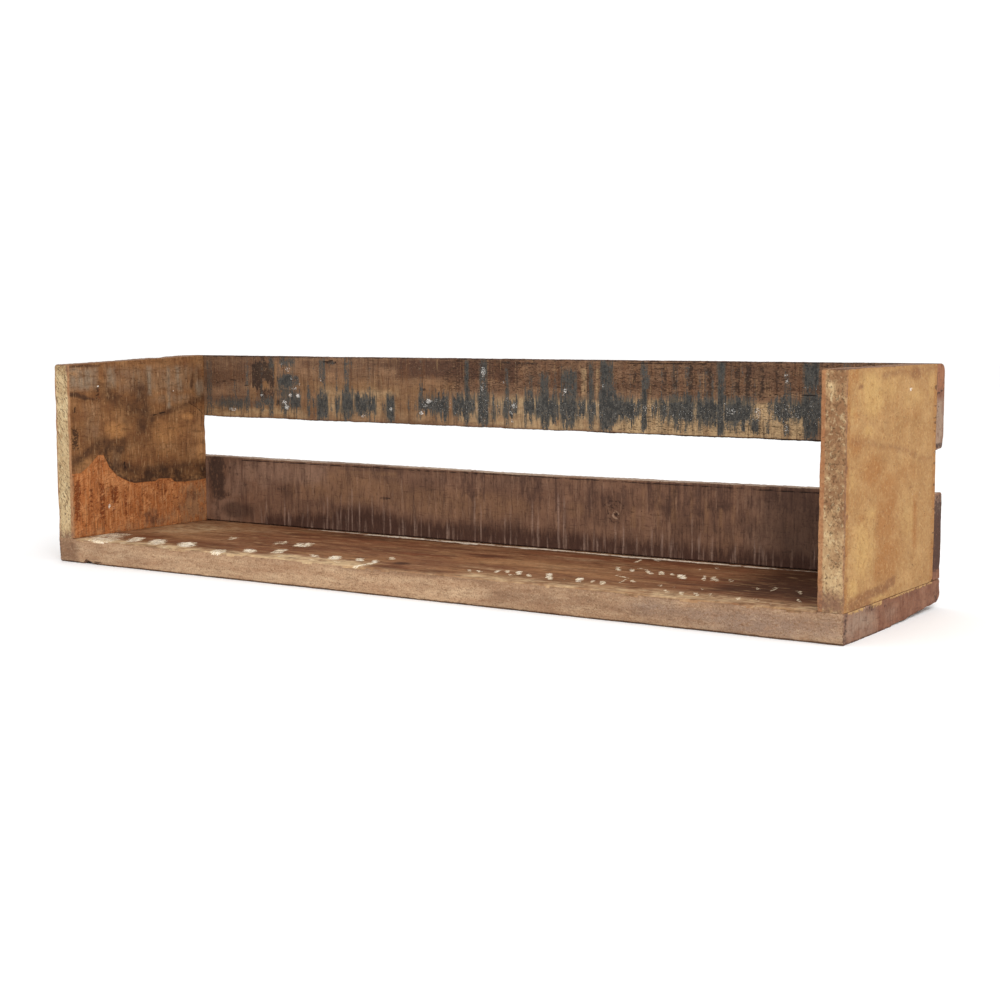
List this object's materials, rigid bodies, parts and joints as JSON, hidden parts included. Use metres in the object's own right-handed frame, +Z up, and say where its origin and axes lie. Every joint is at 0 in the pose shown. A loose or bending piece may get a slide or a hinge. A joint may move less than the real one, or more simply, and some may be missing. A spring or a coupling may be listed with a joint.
{
  "type": "wall shelf",
  "caption": "Long wall shelf of reclaimed wood: a base board, upright end boards and slats across the back with a gap between them.",
  "frame": {"origin": "on the wall plane, midway between the entries of the two keyhole hangers", "axes": "+X along the shelf to its right end as seen from the room, +Y from the open front into the wall, +Z up"},
  "size_m": [0.8, 0.2, 0.195],
  "materials": {
    "base_wood": "oiled reclaimed wood, streaked along the grain",
    "left_side_wood": "weathered, stained and sawn",
    "right_side_wood": "weathered, golden and blotched",
    "upper_slat_wood": "sawn, with remains of dark paint",
    "lower_slat_wood": "weathered, dark and sawn",
    "zinc_screw": "zinc plated",
    "steel_nail": "bare steel",
    "zinc_plate": "zinc plated"
  },
  "bodies": {
    "root": {"base_board": "base_wood", "left_side_board": "left_side_wood", "right_side_board": "right_side_wood", "upper_back_slat": "upper_slat_wood", "lower_back_slat": "lower_slat_wood", "left_base_screws": "zinc_screw", "right_base_screws": "zinc_screw", "lower_slat_foot_nails": "steel_nail", "upper_slat_left_nails": "steel_nail", "upper_slat_right_nails": "steel_nail", "lower_slat_left_nails": "steel_nail", "lower_slat_right_nails": "steel_nail", "left_keyhole_hanger": "zinc_plate", "left_hanger_screws": "zinc_screw", "right_keyhole_hanger": "zinc_plate", "right_hanger_screws": "zinc_screw"}
  },
  "joints": []
}
